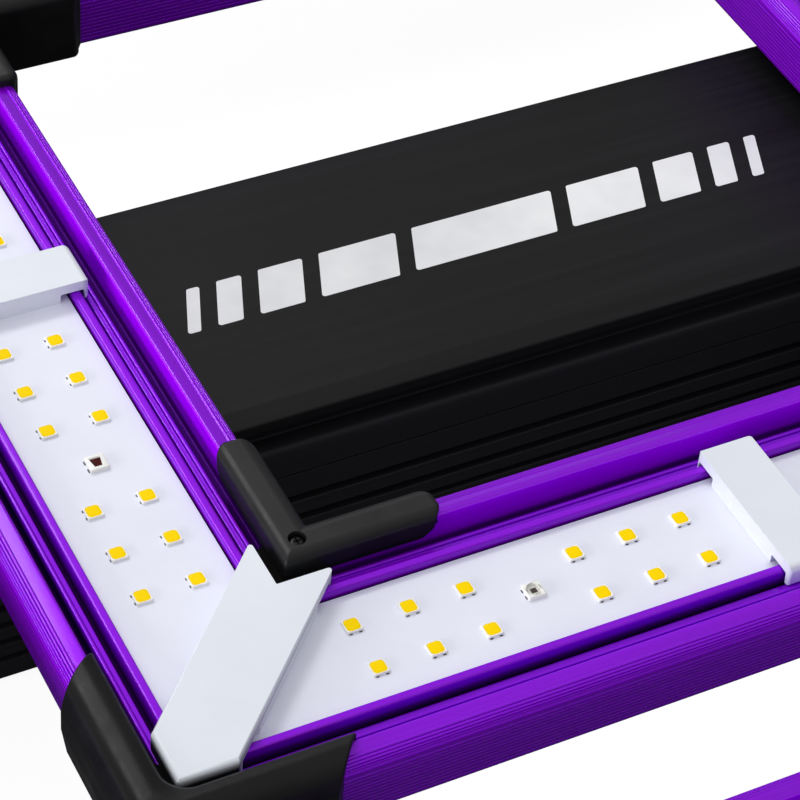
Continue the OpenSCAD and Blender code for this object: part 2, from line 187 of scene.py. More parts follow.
def bevelled(bm, width, segments, angle, pick=None):
    """Rounds every edge of bm that's sharper than the angle, or of those only the ones pick(edge) chooses."""
    limit = math.radians(angle)
    edges = [e for e in bm.edges if len(e.link_faces) == 2 and e.calc_face_angle(0.0) > limit
             and (pick is None or pick(e))]
    bmesh.ops.bevel(bm, geom=edges, offset=width, segments=segments, profile=0.5,
                    affect="EDGES", clamp_overlap=True)


def copies(name, proto, places):
    """One mesh holding proto, a mesh in metres, at each of the places (4x4 matrices in metres)."""
    verts, faces, mats, smooth, sharp = [], [], [], [], []
    pv = [v.co.copy() for v in proto.vertices]
    pf = [(tuple(p.vertices), p.material_index, p.use_smooth) for p in proto.polygons]
    pe = [tuple(e.vertices) for e in proto.edges if e.use_edge_sharp]
    for m in places:
        k = len(verts)
        verts += [m @ v for v in pv]
        faces += [tuple(i + k for i in f[0]) for f in pf]
        mats += [f[1] for f in pf]
        smooth += [f[2] for f in pf]
        sharp += [(a + k, b + k) for a, b in pe]
    me = bpy.data.meshes.new(name)
    me.from_pydata(verts, [], faces)
    me.polygons.foreach_set("material_index", mats)
    me.polygons.foreach_set("use_smooth", smooth)
    if sharp:
        want = {tuple(sorted(e)) for e in sharp}
        for e in me.edges:
            if tuple(sorted(e.vertices)) in want:
                e.use_edge_sharp = True
    # carries the marks of the points spared from painted shade
    unshaded = proto.attributes.get("unshaded")
    if unshaded:
        copied = me.attributes.new("unshaded", "FLOAT", "POINT")
        copied.data.foreach_set("value", [d.value for d in unshaded.data] * len(places))
    me.update()
    return me


def side_matrix(c, k):
    """From a bar's own frame (x along, y towards the centre, z up from its underside) to the light's."""
    return Matrix.Rotation(math.pi / 2 * k, 4, "Z") @ Matrix.Translation((0, -c * MM, BASE_Z * MM))


def corner_matrix(c, k):
    """From a corner's own frame (x and y towards the centre) to the light's."""
    return Matrix.Rotation(math.pi / 2 * k, 4, "Z") @ Matrix.Translation((-c * MM, -c * MM, BASE_Z * MM))


# ---- materials


def grey(v):
    return (v, v, v)


class Mat:
    """A small helper for building a node material."""

    def __init__(self, name):
        self.m = bpy.data.materials.new(name)
        self.m.use_nodes = True
        self.t = self.m.node_tree
        self.t.nodes.clear()
        self.out = self.t.nodes.new("ShaderNodeOutputMaterial")
        self.b = self.t.nodes.new("ShaderNodeBsdfPrincipled")
        self.t.links.new(self.b.outputs[0], self.out.inputs[0])
        self.coord = self.t.nodes.new("ShaderNodeTexCoord")

    def node(self, kind, **kw):
        n = self.t.nodes.new(kind)
        for k, v in kw.items():
            setattr(n, k, v)
        return n

    def link(self, a, b):
        self.t.links.new(a, b)

    def feed(self, socket, value):
        """Links another socket to this one, or sets it to a fixed value."""
        if isinstance(value, bpy.types.NodeSocket):
            self.link(value, socket)
        else:
            socket.default_value = value

    def math(self, operation, a, b):
        n = self.node("ShaderNodeMath", operation=operation)
        self.feed(n.inputs[0], a)
        self.feed(n.inputs[1], b)
        return n.outputs[0]

    def vector(self, operation, a, b):
        n = self.node("ShaderNodeVectorMath", operation=operation)
        self.feed(n.inputs[0], a)
        self.feed(n.inputs["Scale" if operation == "SCALE" else 1], b)
        return n.outputs[0]

    def attribute(self, name):
        return self.node("ShaderNodeAttribute", attribute_name=name).outputs["Fac"]

    def upward(self, vector):
        """The z part of a vector."""
        n = self.node("ShaderNodeSeparateXYZ")
        self.link(vector, n.inputs[0])
        return n.outputs["Z"]

    def painted_shade(self, colour, low, high):
        """Painted shade: darkens a colour from the height high down to low, in metres, at points whose
        marking attribute is 0.
        """
        height = self.upward(self.coord.outputs["Object"])
        height_shade = self.remap(height, (low, high, 0.02, 1.0), interpolation_type="SMOOTHSTEP")
        return self.vector("SCALE", colour, self.math("MAXIMUM", self.attribute("unshaded"), height_shade))

    def set(self, **kw):
        for k, v in kw.items():
            self.b.inputs[k.replace("_", " ")].default_value = v

    def coords(self, scale, source="Object"):
        mp = self.node("ShaderNodeMapping")
        mp.inputs["Scale"].default_value = scale
        self.link(self.coord.outputs[source], mp.inputs["Vector"])
        return mp.outputs[0]

    def noise(self, scale, vec=(1, 1, 1), detail=3.0, rough=0.55, source="Object"):
        """Noise over the piece, stretched by vec."""
        n = self.node("ShaderNodeTexNoise")
        n.inputs["Scale"].default_value = scale
        n.inputs["Detail"].default_value = detail
        n.inputs["Roughness"].default_value = rough
        self.link(self.coords(vec, source), n.inputs["Vector"])
        return n.outputs["Fac"]

    def ramp(self, fac, stops):
        r = self.node("ShaderNodeValToRGB")
        els = r.color_ramp.elements
        while len(els) < len(stops):
            els.new(0.5)
        for e, (pos, col) in zip(els, stops):
            e.position = pos
            e.color = (*col, 1.0)
        self.link(fac, r.inputs["Fac"])
        return r.outputs["Color"]

    def remap(self, value, limits, **kw):
        """value from the range limits[0:2] to the range limits[2:4]."""
        n = self.node("ShaderNodeMapRange", **kw)
        self.link(value, n.inputs[0])
        for i, v in enumerate(limits):
            n.inputs[i + 1].default_value = v
        return n.outputs[0]

    def span(self, fac, lo, hi):
        """The middle of a noise, stretched from lo to hi."""
        return self.remap(fac, (0.35, 0.65, lo, hi))

    def bump(self, height, strength, distance):
        n = self.node("ShaderNodeBump")
        n.inputs["Strength"].default_value = strength
        n.inputs["Distance"].default_value = distance
        self.link(height, n.inputs["Height"])
        self.link(n.outputs[0], self.b.inputs["Normal"])

    def colour(self, socket):
        self.link(socket, self.b.inputs["Base Color"])

    def rough(self, socket):
        self.link(socket, self.b.inputs["Roughness"])


def extruded_metal(name, dark, mid, light, rough, coat, streak, metallic, spec):
    """Anodised extrusion: fine die lines run along the bar. UV x is along it and y across it, in metres. The
    per-point attribute from the mesh is painted light and shade: it scales the colour and thins the coat, so
    slots get painted shade; where it is over 1 the colour is painted brighter and the metal turns matt."""
    m = Mat(name)
    fine = m.noise(1.0, (6, 9000, 1), 2.0, 0.6, "UV")
    broad = m.noise(1.0, (9, 420, 1), 3.0, 0.55, "UV")
    cloud = m.noise(38.0, (1, 1, 1), 4.0, 0.6)
    mix = m.node("ShaderNodeMix", data_type="FLOAT")
    mix.inputs[0].default_value = 0.5
    m.link(fine, mix.inputs[2])
    m.link(broad, mix.inputs[3])
    lines = mix.outputs[0]
    # painted light and shade from the mesh scale the die-line colour
    painted_light = m.attribute("painted_light")
    painted_colour = m.vector("SCALE", m.ramp(lines, [(0.30, dark), (0.5, mid), (0.72, light)]), painted_light)
    m.colour(m.vector("MINIMUM", painted_colour, (0.95, 0.95, 0.95)))
    m.rough(m.math("ADD", m.span(lines, rough - 0.06, rough + 0.07), m.span(cloud, -0.03, 0.03)))
    m.bump(lines, streak, 0.00006)
    # the painted shade also thins the coat; painted light over 1 makes the metal matt
    m.link(m.math("MULTIPLY", m.math("POWER", painted_light, 2.0), coat), m.b.inputs["Coat Weight"])
    m.link(m.remap(painted_light, (1.0, 1.4, metallic, 0.0)), m.b.inputs["Metallic"])
    m.set(Coat_Roughness=0.12, Coat_IOR=1.5, Specular_IOR_Level=spec)
    return m.m


def moulded(name, dark, light, rough, grain, grain_scale, spec=0.5, wear=0.055, painted_shade=None):
    """Moulded plastic: a fine spark-eroded grain, a slow colour drift and faint handling marks."""
    m = Mat(name)
    grain_n = m.noise(grain_scale, (1, 1, 1), 2.0, 0.5)
    drift = m.noise(55.0, (1, 1, 1), 3.0, 0.6)
    marks = m.noise(240.0, (1, 1, 0.3), 6.0, 0.7)
    shade = m.ramp(drift, [(0.35, dark), (0.68, light)])
    # painted shade towards the bottom, where the mesh marks it
    if painted_shade:
        shade = m.painted_shade(shade, *painted_shade)
    m.colour(shade)
    m.rough(m.math("ADD", m.span(drift, rough - 0.05, rough + 0.05), m.span(marks, -wear, wear)))
    m.bump(grain_n, grain, 0.00003)
    m.set(Specular_IOR_Level=spec)
    return m.m


def plated(name, dark, light, rough, scale=900.0):
    """Plated or brushed steel with fine scratches."""
    m = Mat(name)
    scratch = m.noise(scale, (1, 1, 0.08), 4.0, 0.6)
    cloud = m.noise(70.0, (1, 1, 1), 3.0, 0.6)
    m.colour(m.ramp(cloud, [(0.3, dark), (0.7, light)]))
    m.rough(m.span(scratch, rough - 0.08, rough + 0.1))
    m.bump(scratch, 0.15, 0.00003)
    m.set(Metallic=1.0)
    return m.m


def board_white():
    """White solder mask over a metal-core board, very slightly mottled; faces that don't face up are painted
    dark, as painted shade in the gap between the board's edge and the lips.
    """
    m = Mat("white_mask")
    cloud = m.noise(60.0, (1, 1, 1), 4.0, 0.6)
    orange = m.noise(1500.0, (1, 1, 1), 2.0, 0.5)
    white = m.ramp(cloud, [(0.3, (0.74, 0.755, 0.865)), (0.7, (0.785, 0.795, 0.90))])
    facing = m.upward(m.node("ShaderNodeNewGeometry").outputs["Normal"])
    # painted shade: faces that don't face up are darkened
    edge = m.ramp(facing, [(0.4, grey(0.05)), (0.6, grey(1.0))])
    m.colour(m.vector("MULTIPLY", white, edge))
    m.rough(m.span(cloud, 0.34, 0.46))
    m.bump(orange, 0.08, 0.00002)
    m.set(Specular_IOR_Level=0.5)
    return m.m


def phosphor_mat():
    """Yellow phosphor in clear silicone: grainy, with a slightly glossy skin."""
    m = Mat("phosphor")
    grain = m.noise(5200.0, (1, 1, 1), 3.0, 0.6)
    m.colour(m.ramp(grain, [(0.3, (0.93, 0.62, 0.0)), (0.7, (1.0, 0.71, 0.001))]))
    m.rough(m.span(grain, 0.3, 0.42))
    m.bump(grain, 0.1, 0.00002)
    m.set(Specular_IOR_Level=0.04)
    return m.m


def window_mat(name, dark, light, rough=0.12, shine=0.5):
    """Smooth cast resin or glass with a thin clear coat."""
    m = Mat(name)
    g = m.noise(2600.0, (1, 1, 1), 2.0, 0.5)
    m.colour(m.ramp(g, [(0.35, dark), (0.7, light)]))
    m.rough(m.span(g, rough, rough + 0.1))
    m.set(Specular_IOR_Level=shine, Coat_Weight=shine * 0.5, Coat_Roughness=0.05)
    return m.m


# painted shade: the corner clips' bent outer edges are painted darker between these heights
LEG_TOP, PLATE_LOW = 12.6, 14.2  # the corner clips' bent edges darken between these heights

PURPLE = extruded_metal("purple_anodised", (0.19, 0.0, 0.55), (0.235, 0.0, 0.66), (0.28, 0.002, 0.76),
                        rough=0.46, coat=0.38, streak=0.22, metallic=0.45, spec=0.02)
BLACK_EXT = extruded_metal("black_anodised", (0.0045, 0.0043, 0.0048), (0.007, 0.0066, 0.0074),
                           (0.012, 0.0114, 0.0126),
                           rough=0.44, coat=0.0, streak=0.18, metallic=0.0, spec=0.12)
# painted light: the black anodising again, over twice as bright and shinier, for the housing's sides, which
# get little light
LIT_CASE_BLACK = extruded_metal("black_anodised_case_painted_light", (0.0115, 0.0112, 0.0130), (0.0150, 0.0145, 0.0165),
                            (0.019, 0.0185, 0.021),
                            rough=0.44, coat=0.0, streak=0.18, metallic=0.0, spec=0.16)
CAP_BLACK = moulded("cap_black", (0.0055, 0.0057, 0.0063), (0.0085, 0.0087, 0.0095),
                    rough=0.38, grain=0.35, grain_scale=2400.0, spec=0.27)
# painted shade: the cap plastic again, darker and less shiny, for the outer caps
SHADED_OUT_CAP_BLACK = moulded("outer_cap_painted_shade", (0.0045, 0.0046, 0.0050), (0.0068, 0.0070, 0.0076),
                        rough=0.33, grain=0.35, grain_scale=2400.0, spec=0.15)
# white clip plastic with painted shade on the corner clips' bent outer edges
CLIP_WHITE = moulded("clip_white", (0.70, 0.73, 0.80), (0.735, 0.765, 0.83),
                     rough=0.42, grain=0.08, grain_scale=1500.0, spec=0.35, wear=0.012,
                     painted_shade=((BASE_Z + LEG_TOP) * MM, (BASE_Z + PLATE_LOW) * MM))
BODY_WHITE = moulded("lamp_body", (0.80, 0.80, 0.78), (0.88, 0.88, 0.86),
                     rough=0.38, grain=0.08, grain_scale=4000.0)
END_BLACK = moulded("end_cap_black", grey(0.012), grey(0.019), rough=0.46, grain=0.5, grain_scale=1400.0)
# near lightless black for the corner webs, which are painted shade
SHADE_WEB_BLACK = moulded("shade_web_black", grey(0.003), grey(0.005),
                    rough=0.6, grain=0.2, grain_scale=2200.0, spec=0.02)
MOULD_BLACK = moulded("moulding_black", grey(0.011), grey(0.018), rough=0.38, grain=0.3, grain_scale=2200.0)
RUBBER = moulded("rubber_black", grey(0.013), grey(0.021), rough=0.7, grain=0.4, grain_scale=1800.0, spec=0.3)
STEEL = plated("zinc_steel", (0.42, 0.42, 0.44), (0.58, 0.58, 0.60), rough=0.30)
BLACK_OXIDE = plated("black_oxide", (0.012, 0.012, 0.013), (0.03, 0.03, 0.032), rough=0.35)
CAST = plated("cast_alloy", (0.34, 0.34, 0.35), (0.5, 0.5, 0.51), rough=0.55, scale=300.0)
SOLDER = plated("solder", (0.05, 0.05, 0.055), (0.16, 0.16, 0.17), rough=0.35, scale=3000.0)
BOARD = board_white()
GLOW = phosphor_mat()
DEEP_RED = window_mat("deep_red_window", (0.035, 0.0, 0.0), (0.08, 0.001, 0.001), rough=0.12, shine=0.12)
CLEAR_CUP = window_mat("lamp_cup", (0.62, 0.61, 0.57), (0.82, 0.81, 0.76), rough=0.22)
CHIP = window_mat("lamp_chip", (0.012, 0.006, 0.002), (0.05, 0.03, 0.01))
INK = moulded("printed_mark", (0.70, 0.71, 0.73), (0.82, 0.83, 0.84),
              rough=0.45, grain=0.2, grain_scale=1200.0)
GREEN = moulded("green_mask", (0.012, 0.10, 0.03), (0.02, 0.15, 0.045),
                rough=0.3, grain=0.1, grain_scale=1500.0)
TAPE = moulded("transformer_tape", (0.62, 0.36, 0.04), (0.75, 0.46, 0.06),
               rough=0.35, grain=0.15, grain_scale=900.0)
SLEEVE = moulded("capacitor_sleeve", (0.008, 0.012, 0.05), (0.014, 0.02, 0.08),
                 rough=0.25, grain=0.1, grain_scale=900.0)

# ---- light bars

# A bar's section is drawn as (w, h): w from its centre line and h above its underside.
POCKET_IN, POCKET_H = 11.4, 9.3  # wall and floor of the board's pocket
LIP_OUT, LIP_H = 13.1, 12.5  # upright lip beside the board
NARROW_FLOOR = 9.0  # slot between lip and shelf
SHELF_IN, SHELF_OUT = 14.05, 15.85  # shelf with a bead along its outer edge
SHELF_H, BEAD_H = 10.4, 10.8
WIDE_FLOOR = 7.8  # slot between shelf and ridge
WALL_W, RIDGE_H = 18.35, 14.3  # the ridge's inner wall and its height before rounding
BAND_LOW = 11.0  # where the ribbed side ends and the plain band starts


def rib_rise(t):
    """Rise of a rounded rib at the fraction t of its width."""
    return math.sqrt(max(0.0, 1 - abs(2 * t - 1) ** 3))


def ribbed(a, b, count, depth):
    """Points from a to b with rounded ribs standing out to the right of the way a to b."""
    a, b = Vector(a), Vector(b)
    d = (b - a) / count
    out_dir = Vector((d.y, -d.x)).normalized()
    pts = []
    for i in range(count):
        for t in (0.0, 0.12, 0.28, 0.5, 0.72, 0.88):
            pts.append(tuple(a + d * (i + t) + out_dir * depth * rib_rise(t)))
    pts.append(tuple(b))
    return pts


def ribbed_shoulder():
    """Five shallow ribs round the quarter turn from the plain band to the ridge."""
    count, depth = 5, 0.24
    centre_w, centre_h, r_w, r_h = 20.42, 12.35, 2.38, 1.72
    pts = []
    for i in range(count):
        for t in (0.0, 0.1, 0.26, 0.5, 0.74, 0.9):
            ang = math.pi / 2 * (0.05 + 0.83 * (i + t) / count)
            lift = depth * (rib_rise(t) - 0.72)
            pts.append((centre_w + (r_w + lift) * math.cos(ang), centre_h + (r_h + lift) * math.sin(ang)))
    return pts


def outer_side():
    """From the rounded foot up the ribbed side and the plain band to the crown of the ridge."""
    foot = rounded([(0, 3), (0, 0), (21.7, 0, 0.4), (21.78, 3), (10, 6)], 6)
    foot = [p for p in foot if p[1] < 0.55 and p[0] > 15]
    side = ribbed((21.76, 0.6), (22.76, 10.85), 11, 0.22)
    band = [(22.80, BAND_LOW), (22.90, 11.1), (22.98, 11.22), (BAR_W, 11.4), (BAR_W, 11.95), (22.96, 12.08),
            (22.86, 12.2)]
    crown = [(20.75, 13.93), (20.4, 14.01), (20.0, 14.09)]
    return foot + side + band + ribbed_shoulder() + crown


def board_side():
    """From the ridge down into the wide slot, over the shelf, the narrow slot and the lip, to the pocket."""
    wall = [(19.4, 14.2), (WALL_W, RIDGE_H, 1.2), (WALL_W, POCKET_H), (WALL_W, WIDE_FLOOR, 0.5)]
    shelf = [(SHELF_OUT, WIDE_FLOOR, 0.5), (SHELF_OUT, 9.4), (SHELF_OUT, BEAD_H, 0.34), (15.15, BEAD_H, 0.3),
             (14.95, SHELF_H, 0.1), (SHELF_IN, SHELF_H, 0.25), (SHELF_IN, NARROW_FLOOR, 0.12)]
    lip = [(LIP_OUT, NARROW_FLOOR, 0.12), (LIP_OUT, 10.5), (LIP_OUT, 11.3), (LIP_OUT, LIP_H, 0.75),
           (POCKET_IN, LIP_H, 0.35), (POCKET_IN, 11.3), (POCKET_IN, 10.5), (POCKET_IN, POCKET_H, 0.1)]
    close = [(5, POCKET_H), (5, 20)]  # only there so that the pocket's corner is rounded
    return rounded(wall + shelf + lip + close, 6)[:-len(close)]


def bar_section():
    half = outer_side() + board_side()
    return half + [(-w, h) for w, h in reversed(half)]


def bar_painted_light_and_shade(w, h):
    """Painted light and shade for a bar: its slots are painted darker towards black at their floors, its
    ribbed sides are painted a little darker and the ridge's inner wall is painted brighter.
    """
    w = abs(w)
    rib_shade, wall_light, slot_floor_shade = 0.85, 1.4, 0.08
    if w > 21.0:
        return rib_shade if h < BAND_LOW else 1.0
    # painted light: the ridge's inner wall is painted brighter
    if 17.0 < w < 18.6 and h >= POCKET_H:
        return wall_light
    # each slot: how far out it reaches, and the heights where its painted shade is black and where it ends
    for reach, low, top in ((11.3, -1.0, 0.0), (13.15, 10.2, 10.8), (17.0, 9.3, 10.2), (18.6, 7.4, 9.3)):
        if w < reach:
            return min(1.0, max(slot_floor_shade, (h - low) / (top - low)))
    return 1.0


def chambers():
    """The three hollow chambers that run along a bar."""
    out = []
    for mid, half, top, r in ((0.0, 8.0, 7.7, 0.6), (-14.25, 4.75, 7.0, 0.5), (14.25, 4.75, 7.0, 0.5)):
        lo, hi, low = mid - half, mid + half, 1.6
        out.append(rounded([(lo, low, r), (hi, low, r), (hi, top, r), (lo, top, r)], 3))
    return out


def fill_ends(bm, verts):
    """Caps the open end of a bar, leaving its chambers open."""
    inside = set(verts)
    edges = [e for e in bm.edges if len(e.link_faces) == 1 and e.verts[0] in inside and e.verts[1] in inside]
    bmesh.ops.triangle_fill(bm, use_beauty=True, use_dissolve=False, edges=edges)


def swept_bar(name, loops, end_x, where, mats, nodes, painted_light=lambda w, h: 1.0):
    """Bar along x from -end_x(w) to end_x(w), from outlines of (w, h); UVs run along and across it."""
    bm = bmesh.new()
    uv = bm.loops.layers.uv.new("UVMap")
    # per-point painted light and shade, read by the bar's material
    painted_layer = bm.verts.layers.float.new("painted_light")
    lefts, rights = [], []
    for loop in loops:
        a = [bm.verts.new((-end_x(w), w, h)) for w, h in loop]
        b = [bm.verts.new((end_x(w), w, h)) for w, h in loop]
        for va, vb, p in zip(a, b, loop):
            va[painted_layer] = vb[painted_layer] = painted_light(*p)
        run = [0.0]
        n = len(loop)
        for i in range(n):
            run.append(run[-1] + math.dist(loop[i], loop[(i + 1) % n]))
        for i in range(n):
            j = (i + 1) % n
            f = bm.faces.new((a[i], a[j], b[j], b[i]))
            for lp in f.loops:
                v = run[i] if lp.vert in (a[i], b[i]) else run[i + 1]
                lp[uv].uv = (lp.vert.co.x * MM, v * MM)
        lefts += a
        rights += b
    fill_ends(bm, lefts)
    fill_ends(bm, rights)
    me = bm_mesh(bm, name, 38.0)
    me.transform(where)
    add_object(name, me, mats, nodes)


SECTION = bar_section()
GAP = 0.05  # between a bar's mitred end and the corner's diagonal
SIDES = ("front", "right", "back", "left")
RINGS = (("inner", CI), ("outer", CO))
for ring, c in RINGS:
    for k, side in enumerate(SIDES):
        # the bars carry painted shade in their slots and on their ribbed sides, and painted light on their
        # ridge walls
        swept_bar(f"{ring}_light_bar_{side}", [SECTION] + chambers(), lambda w, c=c: c - w - GAP,
                  side_matrix(c, k), [PURPLE], [f"{ring}_rail_{side}"], bar_painted_light_and_shade)
        NODES[f"{ring}_board_{side}"].data.materials.clear()
        NODES[f"{ring}_board_{side}"].data.materials.append(BOARD)

# ---- lamps


def square(half, r, z, steps=4):
    """A rounded square at the height z, with its half width and corner radius."""
    return flat(rounded([(-half, -half, r), (half, -half, r), (half, half, r), (-half, half, r)], steps), z)


def oblong(cx, cy, hx, hy, z):
    """A plain rectangle at the height z, with its centre and half sizes."""
    return [(cx + sx * hx, cy + sy * hy, z) for sx, sy in ((-1, -1), (1, -1), (1, 1), (-1, 1))]


def lamp_places(c, groups, count, single):
    """Places of the lamps in pairs, and of the single lamps with the number of their side."""
    pairs, mids = [], []
    for k in range(4):
        m = side_matrix(c, k)
        for g in groups:
            for i in range(count):
                x = (g + i * PITCH) * MM
                z = BOARD_TOP * MM
                if i == single:
                    mids.append((k, m @ Matrix.Translation((x, 0, z))))
                else:
                    pairs += [m @ Matrix.Translation((x, s * ROW * MM, z)) for s in (-1, 1)]
    return pairs, mids


def white_lamp():
    """White package with a recess for its window and two solder pads at its foot."""
    bm = bmesh.new()
    loft(bm, [square(1.44, 0.16, 0.0), square(1.44, 0.18, 0.05), square(1.42, 0.24, 0.42),
              square(1.40, 0.30, 0.47), square(1.36, 0.36, 0.50), square(1.27, 0.60, 0.50),
              square(1.225, 0.64, 0.475), square(1.215, 0.64, 0.38)], mat=0)
    for x in (-0.85, 0.85):
        loft(bm, [oblong(x, -1.54, 0.26, 0.10, 0.0), oblong(x, -1.54, 0.24, 0.08, 0.09),
                  oblong(x, -1.52, 0.2, 0.05, 0.12)], mat=1)
    return bm_mesh(bm, "white_lamp", 30)


def glow_pad():
    """The yellow window, slightly crowned."""
    bm = bmesh.new()
    loft(bm, [square(1.205, 0.63, 0.38), square(1.205, 0.63, 0.475), square(1.1, 0.58, 0.493),
              square(0.8, 0.42, 0.506), square(0.3, 0.15, 0.512)])
    return bm_mesh(bm, "glow_pad", 40)


def red_lamp():
    """White package with a dark red window that narrows towards one side."""
    bm = bmesh.new()
    rim = [(-1.1, -1.1), (1.05, -0.72), (1.05, 0.72), (-1.1, 1.1)]
    low = [(-0.95, -0.95), (0.9, -0.6), (0.9, 0.6), (-0.95, 0.95)]
    half, r, spread = 1.7, 0.2, 1.01

    def window(pts, z):
        return flat(rounded([(a, b, 0.12) for a, b in pts], 4), z)

    loft(bm, [square(half, r, 0), square(half, r, 0.55),
              [(x * 0.96, y * 0.96, z) for x, y, z in square(half, r, 0.68)],
              [(x * 0.93, y * 0.93, z) for x, y, z in square(half, r, 0.70)],
              window(rim, 0.70), window(low, 0.42)], close_end=False)
    loft(bm, [window(low, 0.40), window([(a * spread, b * spread) for a, b in low], 0.5)], mat=1)
    for x in (-0.95, 0.95):
        loft(bm, [oblong(x, -1.76, 0.42, 0.18, 0.0), oblong(x, -1.76, 0.38, 0.14, 0.12),
                  oblong(x, -1.74, 0.3, 0.08, 0.17)], mat=2)
    return bm_mesh(bm, "red_lamp", 30)


def far_red_lamp():
    """White package with a round pale cup and a small dark chip on its floor."""
    bm = bmesh.new()
    n = 32  # points round the cup, and round the package with seven steps a corner

    def circle(r, z):
        return [(r * math.cos(2 * math.pi * (i + 0.5) / n - 3 * math.pi / 4),
                 r * math.sin(2 * math.pi * (i + 0.5) / n - 3 * math.pi / 4), z) for i in range(n)]

    def package(half, z):
        return square(half, 0.3, z, 7)

    loft(bm, [package(1.62, 0), package(1.62, 0.55), package(1.56, 0.66), package(1.5, 0.7),
              circle(1.30, 0.7), circle(1.24, 0.66)], close_end=False)
    loft(bm, [circle(1.24, 0.66), circle(1.15, 0.45), circle(0.95, 0.28)], close_start=False, mat=1)
    loft(bm, [oblong(0, 0, 0.52, 0.45, 0.28), oblong(0, 0, 0.50, 0.43, 0.44),
              oblong(0, 0, 0.45, 0.38, 0.46)], mat=2)
    for y in (-0.75, 0.75):
        loft(bm, [oblong(-1.68, y, 0.12, 0.34, 0.0), oblong(-1.68, y, 0.10, 0.32, 0.12),
                  oblong(-1.66, y, 0.06, 0.26, 0.16)], mat=3)
    return bm_mesh(bm, "far_red_lamp", 30)


def add_lamps(ring, c, groups, count, single):
    """Every lamp of a ring: pairs along the boards, deep red on the sides, far red at front and back."""
    pairs, mids = lamp_places(c, groups, count, single)
    reds = [m for k, m in mids if k in (1, 3)]
    fars = [m for k, m in mids if k in (0, 2)]
    add_object(f"{ring}_lamp_bodies", copies("lamps", PROTO_WHITE, pairs), [BODY_WHITE, SOLDER],
               [f"{ring}_white_leds"], weighted=False)
    add_object(f"{ring}_lamp_windows", copies("windows", PROTO_GLOW, pairs), [GLOW],
               [f"{ring}_phosphors"], weighted=False)
    add_object(f"{ring}_deep_red_lamps", copies("reds", PROTO_RED, reds), [BODY_WHITE, DEEP_RED, SOLDER],
               [f"{ring}_red_leds"], weighted=False)
    add_object(f"{ring}_far_red_lamps", copies("fars", PROTO_FAR, fars),
               [BODY_WHITE, CLEAR_CUP, CHIP, SOLDER], [f"{ring}_far_red_leds"], weighted=False)


PROTO_WHITE, PROTO_GLOW, PROTO_RED, PROTO_FAR = white_lamp(), glow_pad(), red_lamp(), far_red_lamp()
INNER_COUNT, OUTER_COUNT = 7, 9  # lamp steps in one group
add_lamps("inner", CI, (-CI + FIRST, CI - FIRST - (INNER_COUNT - 1) * PITCH), INNER_COUNT, 3)
add_lamps("outer", CO, (-CO + FIRST, -4 * PITCH, CO - FIRST - (OUTER_COUNT - 1) * PITCH), OUTER_COUNT, 4)

# ---- white clips
CLIP_TOP = 14.7
CLIP_UNDER = 12.7  # underside of the plate, just over the lips
CLIP_END = 14.8  # how far a clip reaches from the bar's centre line
CORNER_END = 15.6  # the same for the corner clip's outer edges
CLIP_LEG = 13.7  # inner face of the leg beyond a lip
LEG_FOOT = 10.55
FOOT_W = 9.3  # half width of the foot that stands on the board


def mark_unshaded(bm, test):
    """Marks the points that stay white whatever their height, free of the painted shade towards the bottom.
    """
    layer = bm.verts.layers.float.new("unshaded")
    for v in bm.verts:
        v[layer] = float(test(v.co))


def mid_clip():
    """Bridge across the bar: a plate over both lips, a foot on the board and a thin leg beyond each lip."""
    half_w, far_r, near_r = 5.0, 1.3, 0.7
    half = [(FOOT_W, BOARD_TOP, 0.1), (FOOT_W, CLIP_UNDER, 0.35), (CLIP_LEG, CLIP_UNDER, 0.3),
            (CLIP_LEG + 0.1, LEG_FOOT, 0.15), (CLIP_END - 0.05, LEG_FOOT, 0.3), (CLIP_END, CLIP_TOP, 1.25)]
    outline = rounded(half + [(-p[0],) + tuple(p[1:]) for p in reversed(half)], 6)
    bm = bmesh.new()
    loft(bm, [[(-half_w, y, z) for y, z in outline], [(half_w, y, z) for y, z in outline]])
    cutter = bmesh.new()
    plan = rounded([(-half_w, -CLIP_END, near_r), (half_w, -CLIP_END, near_r), (half_w, CLIP_END, far_r),
                    (-half_w, CLIP_END, far_r)], 6)
    prism(cutter, plan, BOARD_TOP - 1, CLIP_TOP + 1)
    bm = boolean(bm, cutter, "INTERSECT")
    bevelled(bm, 0.3, 3, 40)
    # no painted shade on the mid clips
    mark_unshaded(bm, lambda co: True)
    return bm_mesh(bm, "mid_clip", 30)


def band(w, h):
    """A diagonal band between two square corners w from the middle; h is half its width along a bar."""
    return [(-w, -w), (h - w, -w), (w + h, w), (w, w), (w, w + h), (-w, h - w)]


